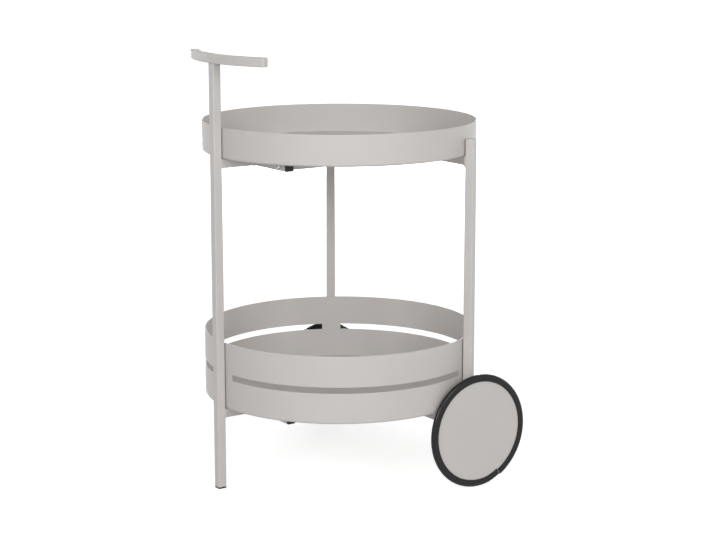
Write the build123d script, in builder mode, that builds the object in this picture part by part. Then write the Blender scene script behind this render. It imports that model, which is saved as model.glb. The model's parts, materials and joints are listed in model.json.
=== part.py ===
"""Round two-tier serving trolley on one foot and two plain disc wheels.

Three square-tube legs stand at 120 degrees round two equal round trays. The tall leg carries a bowed
handle and stands on a plastic foot, the two short legs stand on an axle tube with a wheel at each end.
Under each tray a bolted frame of the same tube ties the legs together.

Millimetres, +Z up, +X from the handle to the wheels, +Y to the left of someone who pushes it. The origin is
on the floor, under the middle of the whole trolley.
"""
import os
from math import cos, degrees, radians, sin

from build123d import *

os.makedirs("parts", exist_ok=True)

# Square steel tube of the legs, rails, handle and axle tube
TUBE = 15.0
TUBE_WALL = 1.5
TUBE_CORNER = 2.0
BORE_CORNER = 0.5

# Round trays: sheet floor welded into a rolled wall with a rounded lower edge
TRAY_RADIUS = 230.0
TRAY_SHEET = 1.5
TRAY_EDGE_RADIUS = 4.0
TRAY_FLANGE = 6.0
UPPER_TRAY_BASE = 552.0
UPPER_TRAY_DEPTH = 51.0
LOWER_FRAME_ABOVE_AXLE_TUBE = 17.5
LOWER_TRAY_BAND = 51.0
SLOT_HEIGHT = 10.0
HANDLE_LEG_BRIDGE = 48.0
WHEEL_LEG_BRIDGE = 34.0

# Legs and handle
TRAY_LEG_GAP = 1.5
LEG_SPACING_ANGLE = 120.0
WHEEL_LEG_RISE = 29.0
HANDLE_UNDERSIDE = 706.0
HANDLE_HALF_ANGLE = 28.0
END_PLATE = 1.5

# Frame under each tray
STEM_RAIL_LENGTH = 62.0
SIDE_RAIL_SPACING = 158.0

# Plastic plugs in open tube ends
PLUG_FLANGE = 3.0
PLUG_DEPTH = 14.0
PLUG_CLEARANCE = 0.1
PLUG_WALL = 2.0
PLUG_TO_BOLT_GAP = 2.0

# Frame bolts, socket button heads, and the inserts that they screw into
BOLT_DIAMETER = 6.0
BOLT_HEAD_DIAMETER = 10.5
BOLT_HEAD_HEIGHT = 3.3
BOLT_SOCKET = 4.0
BOLT_SOCKET_DEPTH = 2.0
BOLT_TIP_SETBACK = 2.0
INSERT_LENGTH = 15.0
THREAD_CLEARANCE = 0.1
HOLE_CLEARANCE = 0.3

# Tray studs, and their nuts inside the side rails
STUD_DIAMETER = 4.0
STUD_PAST_INSERT = 17.0
NUT_ACROSS_FLATS = 7.0
NUT_HEIGHT = 3.2
NUT_DRIVER_ROOM = 2.4
STUD_TIP = 1.0

# Wheels
WHEEL_RADIUS = 96.0
TRAY_WHEEL_GAP = 0.5
TYRE_WIDTH = 8.0
TYRE_TREAD = 4.0
TYRE_LIP = 12.0
TYRE_ROUNDING = 2.5
TYRE_LIP_ROUNDING = 0.8
TYRE_JOINT_GAP = 0.8
TYRE_JOINT_ANGLE = -61.0
DISC_THICKNESS = 4.0

# Hubs, stub axles and bushes
AXLE_DIAMETER = 8.0
AXLE_PAST_BUSH = 4.0
AXLE_TUBE_OVERHANG = 2.0
BUSH_FLANGE = 2.0
BUSH_PAST_RETAINER = 8.0
BUSH_CLEARANCE = 0.05
BEARING_CLEARANCE = 0.05
WASHER_THICKNESS = 1.0
WASHER_DIAMETER = 14.0
AXLE_END_PLAY = 0.3
HUB_FLANGE_DIAMETER = 40.0
HUB_FLANGE_THICKNESS = 3.0
HUB_NECK_DIAMETER = 16.0
HUB_NECK_SHORTEST = 3.0

# Retaining screw under each end of the axle tube, its point in a groove of the stub axle
RETAINER_DIAMETER = 5.0
RETAINER_INSET = 24.0
RETAINER_POINT_DIAMETER = 2.4
RETAINER_SOCKET = 2.5
RETAINER_SOCKET_DEPTH = 1.5
GROOVE_DEPTH = 1.2
GROOVE_SIDE_CLEARANCE = 0.3
RETAINER_CLEARANCE = 0.3

# Values that follow from the sizes above
tube_half = TUBE / 2
tube_bore = TUBE - 2 * TUBE_WALL
leg_circle = TRAY_RADIUS + TRAY_LEG_GAP + tube_half
handle_leg_angle = 180
wheel_leg_angle = handle_leg_angle - LEG_SPACING_ANGLE
wheel_leg_x = leg_circle * cos(radians(wheel_leg_angle))
wheel_leg_y = leg_circle * sin(radians(wheel_leg_angle))

# The tray axis stands off the origin by half of what the handle reaches further than the rear
front_reach = leg_circle + tube_half
rear_reach = max(TRAY_RADIUS, wheel_leg_x + WHEEL_RADIUS)
tray_x = (front_reach - rear_reach) / 2
handle_leg_x = tray_x - leg_circle
axle_x = tray_x + wheel_leg_x
axle_z = WHEEL_RADIUS

cross_bar_x = handle_leg_x + TUBE + STEM_RAIL_LENGTH
side_rail_y = SIDE_RAIL_SPACING / 2
cross_bar_overhang = PLUG_DEPTH + PLUG_TO_BOLT_GAP + BOLT_DIAMETER / 2
cross_bar_length = SIDE_RAIL_SPACING + 2 * cross_bar_overhang
wheel_leg_top = UPPER_TRAY_BASE + WHEEL_LEG_RISE
lower_tray_base = axle_z + tube_half + LOWER_FRAME_ABOVE_AXLE_TUBE + TUBE
lower_tray_depth = 2 * LOWER_TRAY_BAND + SLOT_HEIGHT
levels = (("upper", UPPER_TRAY_BASE), ("lower", lower_tray_base))
sides = (("left", 1), ("right", -1))

# Stations along the axle, measured outwards from the trolley's middle plane
leg_half_width = tube_half * (sin(radians(wheel_leg_angle)) + cos(radians(wheel_leg_angle)))
axle_tube_end = wheel_leg_y + leg_half_width + AXLE_TUBE_OVERHANG
bush_face = axle_tube_end + BUSH_FLANGE
washer_face = bush_face + WASHER_THICKNESS
hub_neck_face = washer_face + AXLE_END_PLAY
tyre_side = (TYRE_WIDTH - DISC_THICKNESS) / 2
nearest_flange_face = hub_neck_face + HUB_NECK_SHORTEST
nearest_disc_face = nearest_flange_face + HUB_FLANGE_THICKNESS
# The wheel clears the tray's wall and leaves room for its own hub, whichever is further out
disc_inner_face = max(TRAY_RADIUS + TRAY_WHEEL_GAP + tyre_side, nearest_disc_face)
tyre_inner_face = disc_inner_face - tyre_side
hub_flange_face = disc_inner_face - HUB_FLANGE_THICKNESS
retainer_y = axle_tube_end - RETAINER_INSET
bush_length = RETAINER_INSET + BUSH_PAST_RETAINER
axle_reach = bush_length + AXLE_PAST_BUSH
disc_radius = WHEEL_RADIUS - TYRE_TREAD
lip_radius = WHEEL_RADIUS - TYRE_LIP


def save(piece, name):
    """Label a finished piece, write its file and print its volume."""
    piece.part.label = name
    export_step(piece.part, f"parts/{name}.step")
    print(f"{name}: {len(piece.part.solids())} solid(s), {piece.part.volume / 1000:.2f} cm3")


def square_section():
    """The tube's section, in the sketch that is open."""
    RectangleRounded(TUBE, TUBE, TUBE_CORNER)
    RectangleRounded(tube_bore, tube_bore, BORE_CORNER, mode=Mode.SUBTRACT)


def square_tube(plane, length):
    """A straight length of tube that starts on a plane and runs along its normal."""
    with BuildPart() as tube:
        with BuildSketch(plane):
            square_section()
        extrude(amount=length)
    return tube


def drill(plane, diameter, depth):
    """Take a round hole out of the part that is open."""
    with BuildSketch(plane) as hole:
        Circle(diameter / 2)
    extrude(hole.sketch, amount=depth, mode=Mode.SUBTRACT)


def leg_plane(angle, height):
    """A level plane on a leg's axis, with its X axis pointing away from the trays."""
    direction = (cos(radians(angle)), sin(radians(angle)), 0)
    x = tray_x + leg_circle * direction[0]
    y = leg_circle * direction[1]
    return Plane(origin=(x, y, height), x_dir=direction, z_dir=(0, 0, 1))


def add_plug(plane):
    """A moulded plug for an open tube end; the plane lies on the end and points out of it."""
    stem = tube_bore - 2 * PLUG_CLEARANCE
    with BuildSketch(plane) as flange:
        RectangleRounded(TUBE, TUBE, TUBE_CORNER)
    extrude(flange.sketch, amount=PLUG_FLANGE)
    with BuildSketch(plane) as sleeve:
        RectangleRounded(stem, stem, BORE_CORNER)
        Rectangle(stem - 2 * PLUG_WALL, stem - 2 * PLUG_WALL, mode=Mode.SUBTRACT)
    extrude(sleeve.sketch, amount=-PLUG_DEPTH)


# Handle leg: from the foot's flange up to the handle's underside
handle_leg = square_tube(leg_plane(handle_leg_angle, PLUG_FLANGE), HANDLE_UNDERSIDE - PLUG_FLANGE)
save(handle_leg, "handle_leg")

with BuildPart() as handle_leg_foot:
    foot_plane = leg_plane(handle_leg_angle, PLUG_FLANGE)
    add_plug(Plane(origin=foot_plane.origin, x_dir=foot_plane.x_dir, z_dir=(0, 0, -1)))
save(handle_leg_foot, "handle_leg_foot")

# Handle bar: the same tube, bowed on the circle that the legs stand on
handle_z = HANDLE_UNDERSIDE + tube_half
end_plate_angle = degrees(END_PLATE / leg_circle)
tube_half_angle = HANDLE_HALF_ANGLE - end_plate_angle


def bowed_plane(angle):
    """The upright plane across the handle at an angle from the handle leg, facing along the bow."""
    turn = radians(handle_leg_angle + angle)
    x = tray_x + leg_circle * cos(turn)
    y = leg_circle * sin(turn)
    return Plane(origin=(x, y, handle_z), x_dir=(cos(turn), sin(turn), 0), z_dir=(-sin(turn), cos(turn), 0))


tray_axis = Axis((tray_x, 0, 0), (0, 0, 1))

with BuildPart() as handle_bar:
    with BuildSketch(bowed_plane(-tube_half_angle)):
        square_section()
    revolve(axis=tray_axis, revolution_arc=2 * tube_half_angle)
save(handle_bar, "handle_bar")

with BuildPart() as handle_end_plates:
    for start_angle in (-HANDLE_HALF_ANGLE, tube_half_angle):
        with BuildSketch(bowed_plane(start_angle)):
            RectangleRounded(TUBE, TUBE, TUBE_CORNER)
        revolve(axis=tray_axis, revolution_arc=end_plate_angle)
save(handle_end_plates, "handle_end_plates")

# Wheel legs: they stand on the axle tube and end half-way up the upper tray's wall
wheel_leg_foot = axle_z + tube_half
wheel_leg_length = wheel_leg_top - END_PLATE - wheel_leg_foot
for side_name, side in sides:
    wheel_leg = square_tube(leg_plane(side * wheel_leg_angle, wheel_leg_foot), wheel_leg_length)
    save(wheel_leg, f"{side_name}_wheel_leg")

with BuildPart() as wheel_leg_caps:
    for side_name, side in sides:
        with BuildSketch(leg_plane(side * wheel_leg_angle, wheel_leg_top - END_PLATE)):
            RectangleRounded(TUBE, TUBE, TUBE_CORNER)
        extrude(amount=END_PLATE)
save(wheel_leg_caps, "wheel_leg_caps")

# Frames under the trays: every rail's top face carries the tray floor
handle_leg_face = handle_leg_x + tube_half
cross_bar_front = cross_bar_x - tube_half
cross_bar_back = cross_bar_x + tube_half
rear_rail_front = axle_x - tube_half
rear_rail_back = axle_x + tube_half
bolt_hole = BOLT_DIAMETER + 2 * HOLE_CLEARANCE
stud_hole = STUD_DIAMETER + 2 * HOLE_CLEARANCE
driver_hole = NUT_ACROSS_FLATS / cos(radians(30)) + NUT_DRIVER_ROOM
stud_inset = INSERT_LENGTH + STUD_PAST_INSERT
stud_stations = (cross_bar_back + stud_inset, rear_rail_front - stud_inset)


def across(x, y, z, sense=1):
    """An upright plane that faces along the trolley, towards its wheels or, with sense -1, its handle."""
    return Plane(origin=(x, y, z), x_dir=(0, sense, 0), z_dir=(sense, 0, 0))


def sideways(x, y, z, sense=1):
    """An upright plane that faces to the left or, with sense -1, to the right."""
    return Plane(origin=(x, y, z), x_dir=(-sense, 0, 0), z_dir=(0, sense, 0))


def make_frame(level, base):
    """The rails under one tray, their plugs, inserts and bolts."""
    rail_z = base - tube_half

    stem_rail = square_tube(across(handle_leg_face, 0, rail_z), STEM_RAIL_LENGTH)
    save(stem_rail, f"{level}_stem_rail")

    with BuildPart() as cross_bar:
        with BuildSketch(sideways(cross_bar_x, -cross_bar_length / 2, rail_z)):
            square_section()
        extrude(amount=cross_bar_length)
        for side_name, side in sides:
            drill(across(cross_bar_front, side * side_rail_y, rail_z), bolt_hole, TUBE)
    save(cross_bar, f"{level}_cross_bar")

    with BuildPart() as cross_bar_plugs:
        for side_name, side in sides:
            add_plug(sideways(cross_bar_x, side * cross_bar_length / 2, rail_z, side))
    save(cross_bar_plugs, f"{level}_cross_bar_plugs")

    for side_name, side in sides:
        with BuildPart() as side_rail:
            with BuildSketch(across(cross_bar_back, side * side_rail_y, rail_z)):
                square_section()
            extrude(amount=rear_rail_front - cross_bar_back)
            # A stud comes in through the top wall, and a nut driver through the wider hole in the bottom wall
            for station in stud_stations:
                drill(Plane(origin=(station, side * side_rail_y, base - TUBE_WALL)), stud_hole, TUBE_WALL)
                drill(Plane(origin=(station, side * side_rail_y, base - TUBE)), driver_hole, TUBE_WALL)
        save(side_rail, f"{level}_{side_name}_side_rail")

    # The rear rail's ends are cut to the shape of the legs that they are welded to
    with BuildPart() as rear_rail:
        with BuildSketch(sideways(axle_x, -wheel_leg_y, rail_z)):
            square_section()
        extrude(amount=2 * wheel_leg_y)
        for side_name, side in sides:
            drill(across(rear_rail_front, side * side_rail_y, rail_z), bolt_hole, TUBE)
            with BuildSketch(leg_plane(side * wheel_leg_angle, base - TUBE)):
                RectangleRounded(TUBE, TUBE, TUBE_CORNER)
            extrude(amount=TUBE, mode=Mode.SUBTRACT)
    save(rear_rail, f"{level}_rear_rail")

    insert_width = tube_bore - 2 * PLUG_CLEARANCE
    with BuildPart() as inserts:
        for side_name, side in sides:
            for end_x, sense in ((cross_bar_back, 1), (rear_rail_front, -1)):
                end_plane = across(end_x, side * side_rail_y, rail_z, sense)
                with BuildSketch(end_plane):
                    RectangleRounded(insert_width, insert_width, BORE_CORNER)
                    Circle(BOLT_DIAMETER / 2 + THREAD_CLEARANCE, mode=Mode.SUBTRACT)
                extrude(amount=INSERT_LENGTH)
    save(inserts, f"{level}_rail_inserts")

    shank_length = TUBE + INSERT_LENGTH - BOLT_TIP_SETBACK
    with BuildPart() as bolts:
        for side_name, side in sides:
            for seat_x, sense in ((cross_bar_front, 1), (rear_rail_back, -1)):
                seat = across(seat_x, side * side_rail_y, rail_z, sense)
                with BuildSketch(seat):
                    Circle(BOLT_DIAMETER / 2)
                extrude(amount=shank_length)
                with BuildSketch(seat):
                    Circle(BOLT_HEAD_DIAMETER / 2)
                extrude(amount=-BOLT_HEAD_HEIGHT)
                with BuildSketch(seat.offset(-BOLT_HEAD_HEIGHT)):
                    RegularPolygon(BOLT_SOCKET / 2, 6, major_radius=False)
                extrude(amount=BOLT_SOCKET_DEPTH, mode=Mode.SUBTRACT)
    save(bolts, f"{level}_frame_bolts")


def add_wall_profile(base, depth):
    """Half of a tray wall's section, from its welded flange round the lower edge to the rim."""
    inner_edge = TRAY_EDGE_RADIUS - TRAY_SHEET
    corner = TRAY_RADIUS - TRAY_EDGE_RADIUS
    flange = TRAY_RADIUS - TRAY_FLANGE
    inside = TRAY_RADIUS - TRAY_SHEET
    bend = TRAY_EDGE_RADIUS
    with BuildSketch(Plane(origin=(tray_x, 0, base), x_dir=(1, 0, 0), z_dir=(0, -1, 0))) as section:
        with BuildLine():
            Line((flange, 0), (corner, 0))
            CenterArc((corner, bend), bend, -90, 90)
            Line((TRAY_RADIUS, bend), (TRAY_RADIUS, depth))
            Line((TRAY_RADIUS, depth), (inside, depth))
            Line((inside, depth), (inside, bend))
            CenterArc((corner, bend), inner_edge, -90, 90)
            Line((corner, TRAY_SHEET), (flange, TRAY_SHEET))
            Line((flange, TRAY_SHEET), (flange, 0))
        make_face()
    revolve(section.sketch, axis=tray_axis)


def cut_slot(height, start, end):
    """Take one arc-shaped slot out of the tray wall that is open."""
    outside = TRAY_RADIUS + TRAY_SHEET
    inside = TRAY_RADIUS - 2 * TRAY_SHEET
    with BuildSketch(Plane.XY.offset(height).move(Pos(tray_x, 0, 0))) as slot:
        with BuildLine():
            outer = CenterArc((0, 0), outside, start, end - start)
            inner = CenterArc((0, 0), inside, start, end - start)
            Line(outer @ 0, inner @ 0)
            Line(outer @ 1, inner @ 1)
        make_face()
    extrude(slot.sketch, amount=SLOT_HEIGHT, mode=Mode.SUBTRACT)


def make_tray_floor(level, base):
    """The floor disc, its four welded studs and the nuts that hold them inside the side rails."""
    with BuildPart() as floor:
        with BuildSketch(Plane.XY.offset(base).move(Pos(tray_x, 0, 0))):
            Circle(TRAY_RADIUS - TRAY_FLANGE)
        extrude(amount=TRAY_SHEET)
    save(floor, f"{level}_tray_floor")

    seats = [(x, side * side_rail_y) for x in stud_stations for side_name, side in sides]
    with BuildPart() as studs:
        with BuildSketch(Plane.XY.offset(base)):
            with Locations(*seats):
                Circle(STUD_DIAMETER / 2)
        extrude(amount=-(TUBE_WALL + NUT_HEIGHT + STUD_TIP))
    save(studs, f"{level}_tray_studs")

    with BuildPart() as nuts:
        with BuildSketch(Plane.XY.offset(base - TUBE_WALL)):
            with Locations(*seats):
                RegularPolygon(NUT_ACROSS_FLATS / 2, 6, major_radius=False)
                Circle(STUD_DIAMETER / 2 + THREAD_CLEARANCE, mode=Mode.SUBTRACT)
        extrude(amount=-NUT_HEIGHT)
    save(nuts, f"{level}_tray_nuts")


for level, base in levels:
    make_frame(level, base)
    make_tray_floor(level, base)

with BuildPart() as upper_tray_wall:
    add_wall_profile(UPPER_TRAY_BASE, UPPER_TRAY_DEPTH)
save(upper_tray_wall, "upper_tray_wall")

# The lower wall has a slot between each two legs, with a solid bridge left behind every leg
slot_z = lower_tray_base + LOWER_TRAY_BAND
handle_bridge = degrees(HANDLE_LEG_BRIDGE / 2 / TRAY_RADIUS)
wheel_bridge = degrees(WHEEL_LEG_BRIDGE / 2 / TRAY_RADIUS)
with BuildPart() as lower_tray_wall:
    add_wall_profile(lower_tray_base, lower_tray_depth)
    cut_slot(slot_z, wheel_leg_angle + wheel_bridge, handle_leg_angle - handle_bridge)
    cut_slot(slot_z, handle_bridge - handle_leg_angle, -wheel_leg_angle - wheel_bridge)
    cut_slot(slot_z, wheel_bridge - wheel_leg_angle, wheel_leg_angle - wheel_bridge)
save(lower_tray_wall, "lower_tray_wall")

# Axle tube across the wheel legs, with a tapped hole under each end for the retaining screw
with BuildPart() as axle_tube:
    with BuildSketch(sideways(axle_x, -axle_tube_end, axle_z)):
        square_section()
    extrude(amount=2 * axle_tube_end)
    for side_name, side in sides:
        under = Plane(origin=(axle_x, side * retainer_y, axle_z - tube_half))
        drill(under, RETAINER_DIAMETER + 2 * THREAD_CLEARANCE, TUBE_WALL)
save(axle_tube, "axle_tube")

# Retaining screws: the body stops below the stub axle and the point reaches into its groove
axle_radius = AXLE_DIAMETER / 2
retainer_top = axle_radius + RETAINER_CLEARANCE
point_top = axle_radius - GROOVE_DEPTH + RETAINER_CLEARANCE
with BuildPart() as axle_retaining_screws:
    for side_name, side in sides:
        under = Plane(origin=(axle_x, side * retainer_y, axle_z - tube_half))
        with BuildSketch(under):
            Circle(RETAINER_DIAMETER / 2)
        extrude(amount=tube_half - retainer_top)
        with BuildSketch(under):
            Circle(RETAINER_POINT_DIAMETER / 2)
        extrude(amount=tube_half - point_top)
        with BuildSketch(under):
            RegularPolygon(RETAINER_SOCKET / 2, 6, major_radius=False)
        extrude(amount=RETAINER_SOCKET_DEPTH, mode=Mode.SUBTRACT)
save(axle_retaining_screws, "axle_retaining_screws")

groove_half = RETAINER_POINT_DIAMETER / 2 + GROOVE_SIDE_CLEARANCE
bush_bore = AXLE_DIAMETER + 2 * BEARING_CLEARANCE
bush_body = tube_bore - 2 * BUSH_CLEARANCE


def on_axle(side, distance):
    """The plane across a wheel's axis at a distance from the middle plane, facing outwards."""
    return sideways(axle_x, side * distance, axle_z, side)


for side_name, side in sides:
    # Flanged bush, pushed into the end of the axle tube, with a hole for the retaining screw
    with BuildPart() as axle_bush:
        with BuildSketch(on_axle(side, axle_tube_end)):
            RectangleRounded(TUBE, TUBE, TUBE_CORNER)
        extrude(amount=BUSH_FLANGE)
        with BuildSketch(on_axle(side, axle_tube_end)):
            RectangleRounded(bush_body, bush_body, BORE_CORNER)
        extrude(amount=-bush_length)
        drill(on_axle(side, axle_tube_end - bush_length), bush_bore, bush_length + BUSH_FLANGE)
        under = Plane(origin=(axle_x, side * retainer_y, axle_z - tube_half))
        drill(under, RETAINER_DIAMETER + 2 * HOLE_CLEARANCE, tube_half)
    save(axle_bush, f"{side_name}_axle_bush")

    with BuildPart() as axle_washer:
        with BuildSketch(on_axle(side, bush_face)):
            Circle(WASHER_DIAMETER / 2)
            Circle(axle_radius + HOLE_CLEARANCE, mode=Mode.SUBTRACT)
        extrude(amount=WASHER_THICKNESS)
    save(axle_washer, f"{side_name}_axle_washer")

    # Stub axle, from the wheel disc to its inner end, with the groove for the retaining screw
    with BuildPart() as stub_axle:
        with BuildSketch(on_axle(side, disc_inner_face)):
            Circle(axle_radius)
        extrude(amount=-(disc_inner_face - axle_tube_end + axle_reach))
        with BuildSketch(on_axle(side, retainer_y - groove_half)):
            Circle(axle_radius)
            Circle(axle_radius - GROOVE_DEPTH, mode=Mode.SUBTRACT)
        extrude(amount=2 * groove_half, mode=Mode.SUBTRACT)
    save(stub_axle, f"{side_name}_stub_axle")

    # Hub: a turned flange welded to the disc's inner face and to the stub axle
    with BuildPart() as wheel_hub:
        with BuildSketch(on_axle(side, hub_flange_face)):
            Circle(HUB_FLANGE_DIAMETER / 2)
        extrude(amount=HUB_FLANGE_THICKNESS)
        with BuildSketch(on_axle(side, hub_neck_face)):
            Circle(HUB_NECK_DIAMETER / 2)
        extrude(amount=hub_flange_face - hub_neck_face)
        drill(on_axle(side, hub_neck_face), AXLE_DIAMETER, disc_inner_face - hub_neck_face)
    save(wheel_hub, f"{side_name}_wheel_hub")

    with BuildPart() as wheel_disc:
        with BuildSketch(on_axle(side, disc_inner_face)):
            Circle(disc_radius)
        extrude(amount=DISC_THICKNESS)
    save(wheel_disc, f"{side_name}_wheel_disc")

    # Tyre: a rubber channel bent round the disc's edge, with its two ends butted together
    with BuildPart() as wheel_tyre:
        with BuildSketch(on_axle(side, tyre_inner_face)):
            Circle(WHEEL_RADIUS)
            Circle(lip_radius, mode=Mode.SUBTRACT)
        extrude(amount=TYRE_WIDTH)
        rims = wheel_tyre.edges().filter_by(GeomType.CIRCLE).sort_by(SortBy.RADIUS)
        fillet(rims[-2:], TYRE_ROUNDING)
        lips = wheel_tyre.edges().filter_by(lambda edge: edge.geom_type == GeomType.CIRCLE
                                            and abs(edge.radius - lip_radius) < TYRE_LIP_ROUNDING)
        fillet(lips, TYRE_LIP_ROUNDING)
        with BuildSketch(on_axle(side, disc_inner_face)):
            Circle(disc_radius)
        extrude(amount=DISC_THICKNESS, mode=Mode.SUBTRACT)
        with BuildSketch(on_axle(side, tyre_inner_face).rotated((0, 0, TYRE_JOINT_ANGLE))):
            with Locations((WHEEL_RADIUS - TYRE_LIP / 2, 0)):
                Rectangle(2 * TYRE_LIP, TYRE_JOINT_GAP)
        extrude(amount=TYRE_WIDTH, mode=Mode.SUBTRACT)
    save(wheel_tyre, f"{side_name}_wheel_tyre")
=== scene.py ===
# %% [markdown]
# # A round serving trolley
# Three square-tube legs hold two round sheet-metal trays. The tall leg carries a bowed handle and
# stands on a plastic foot, the two short legs stand on an axle tube with a plain disc wheel at each
# end. All the steel wears one warm grey powder coat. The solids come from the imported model, which
# is loaded first and never moved. This lesson gives each of them its finish, and makes a finer mesh
# of the pieces whose curves and edges catch light.

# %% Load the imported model
import json
from math import cos, pi, radians, sin, sqrt

import bmesh
import bpy
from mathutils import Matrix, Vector

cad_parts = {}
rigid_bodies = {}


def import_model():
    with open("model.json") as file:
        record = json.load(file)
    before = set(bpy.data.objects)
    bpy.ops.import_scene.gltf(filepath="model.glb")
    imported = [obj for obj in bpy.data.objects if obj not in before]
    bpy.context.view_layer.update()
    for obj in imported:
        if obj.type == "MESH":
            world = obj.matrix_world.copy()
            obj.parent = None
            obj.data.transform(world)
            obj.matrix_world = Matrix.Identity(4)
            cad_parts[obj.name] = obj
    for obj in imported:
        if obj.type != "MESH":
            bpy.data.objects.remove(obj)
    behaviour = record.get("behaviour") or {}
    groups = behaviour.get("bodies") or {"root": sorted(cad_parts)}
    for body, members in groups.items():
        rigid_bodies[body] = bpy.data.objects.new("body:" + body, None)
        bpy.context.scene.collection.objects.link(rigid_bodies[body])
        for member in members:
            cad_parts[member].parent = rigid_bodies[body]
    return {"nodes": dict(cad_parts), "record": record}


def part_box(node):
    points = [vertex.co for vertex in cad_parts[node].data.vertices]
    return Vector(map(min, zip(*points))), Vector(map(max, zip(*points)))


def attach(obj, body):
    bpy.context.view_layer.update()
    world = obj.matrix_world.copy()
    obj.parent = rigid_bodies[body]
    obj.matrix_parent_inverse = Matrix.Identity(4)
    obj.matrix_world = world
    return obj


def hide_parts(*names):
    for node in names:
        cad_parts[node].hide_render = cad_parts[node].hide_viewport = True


for leftover in list(bpy.data.objects):
    bpy.data.objects.remove(leftover)
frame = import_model()
bpy.context.view_layer.update()
scene = bpy.context.scene

# %% [markdown]
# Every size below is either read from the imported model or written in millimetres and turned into
# metres here. A size that is read from the model can never drift away from it, so reading comes
# first.

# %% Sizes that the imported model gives
MM = 0.001
upper_low, upper_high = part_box("upper_tray_wall")
lower_low, lower_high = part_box("lower_tray_wall")
leg_low, leg_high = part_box("handle_leg")
tray_axis = (upper_low + upper_high) / 2
tray_radius = (upper_high.x - upper_low.x) / 2
tube = leg_high.x - leg_low.x
handle_leg_axis = (leg_low + leg_high) / 2
leg_circle = tray_axis.x - handle_leg_axis.x
print(f"tray radius {tray_radius / MM:.1f} mm, tube {tube / MM:.1f} mm")
print(f"legs on a circle of {leg_circle / MM:.1f} mm")

# %% [markdown]
# ## The camera
# The photograph was taken from somewhat above the handle, well to the side of it, with a long lens.
# The place and the turn below were fitted to the rims, the legs, the handle's ends and the wheel's
# outline. The focal length is kept in pixels of the 716-pixel-wide picture, because that is how it
# was measured.

# %% The camera
PICTURE_WIDTH = 716
FOCAL_LENGTH_PIXELS = 1823
CAMERA_PLACE = (-1.687, -2.533, 0.951)
CAMERA_YAW = 34.39
CAMERA_PITCH = 11.28

camera_data = bpy.data.cameras.new("camera")
camera_data.lens = camera_data.sensor_width * FOCAL_LENGTH_PIXELS / PICTURE_WIDTH
camera = bpy.data.objects.new("camera", camera_data)
camera.location = CAMERA_PLACE
camera.rotation_euler = (radians(90 - CAMERA_PITCH), 0, radians(-CAMERA_YAW))
scene.collection.objects.link(camera)
scene.camera = camera
print(f"lens {camera_data.lens:.1f} mm")

# %% [markdown]
# ## Finishes
# A material is a small tree of nodes. One function adds a node, sets its properties and fills or
# links its inputs, so that each finish below reads as a list of what it is made of. Colours are
# written as the sRGB hex values that a colour picker shows; the shader wants linear light, so one
# function converts them.

# %% Helpers for node trees
def add_node(tree, kind, inputs=None, **settings):
    """Add a node, set its properties, then fill or link its inputs."""
    made = tree.nodes.new(kind)
    for name, value in settings.items():
        setattr(made, name, value)
    for key, value in (inputs or {}).items():
        if isinstance(value, bpy.types.NodeSocket):
            tree.links.new(value, made.inputs[key])
        else:
            made.inputs[key].default_value = value
    return made


def linear(hex_colour):
    """An sRGB hex colour as linear red, green, blue and alpha."""
    parts = [int(hex_colour[place:place + 2], 16) / 255 for place in (1, 3, 5)]
    light = [p / 12.92 if p <= 0.04045 else ((p + 0.055) / 1.055) ** 2.4 for p in parts]
    return (*light, 1.0)


def per_metre(millimetres):
    """The texture scale at which one feature of a pattern is that many millimetres wide."""
    return 1 / (millimetres * MM)


print(f"mid grey #808080 is {linear('#808080')[0]:.3f} in linear light")

# %% [markdown]
# Polyester powder is sprayed on dry and melted in an oven. It flows to a satin skin with a shallow
# orange peel, a millimetre or two from crest to crest. That is finer than a pixel of the picture,
# so it is drawn about twice as coarse here. The tone hardly changes over a piece: only a faint,
# slow cloud of thicker and thinner coat. A flat colour would do from afar, but the shallow bump is
# what keeps the highlights soft and slightly uneven.

# %% Powder coat
def powder_coat():
    cloud_width = 90
    peel_width = 3.5
    peel_depth = 0.08 * MM
    material = bpy.data.materials.new("polyester_powder_coat_warm_grey")
    material.use_nodes = True
    tree = material.node_tree
    shader = tree.nodes["Principled BSDF"]
    place = add_node(tree, "ShaderNodeTexCoord").outputs["Object"]
    cloud = add_node(tree, "ShaderNodeTexNoise", {
        "Vector": place, "Scale": per_metre(cloud_width), "Detail": 2.0})
    tone = add_node(tree, "ShaderNodeMixRGB", {
        "Fac": cloud.outputs["Fac"], "Color1": linear("#C9C5C2"), "Color2": linear("#CFCBC8")})
    peel = add_node(tree, "ShaderNodeTexNoise", {
        "Vector": place, "Scale": per_metre(peel_width), "Detail": 1.0})
    gloss = add_node(tree, "ShaderNodeMapRange", {
        "Value": peel.outputs["Fac"], "To Min": 0.40, "To Max": 0.50})
    bump = add_node(tree, "ShaderNodeBump", {
        "Height": peel.outputs["Fac"], "Strength": 0.25, "Distance": peel_depth})
    tree.links.new(tone.outputs["Color"], shader.inputs["Base Color"])
    tree.links.new(gloss.outputs["Result"], shader.inputs["Roughness"])
    tree.links.new(bump.outputs["Normal"], shader.inputs["Normal"])
    return material


# %% [markdown]
# The tyre is an extruded rubber channel. Carbon black makes it nearly black, the die leaves fine
# lines along its length, and its wax comes out as a slight dull bloom. Rolling rubs the bloom off
# the rounded tread, which shines, while the flat sides stay dull and so stay black from any side.
# Rings about the axle stand for the die lines, because the channel was bent round the wheel after
# it was made, and the same distance from the axle says where the tread begins.

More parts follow.
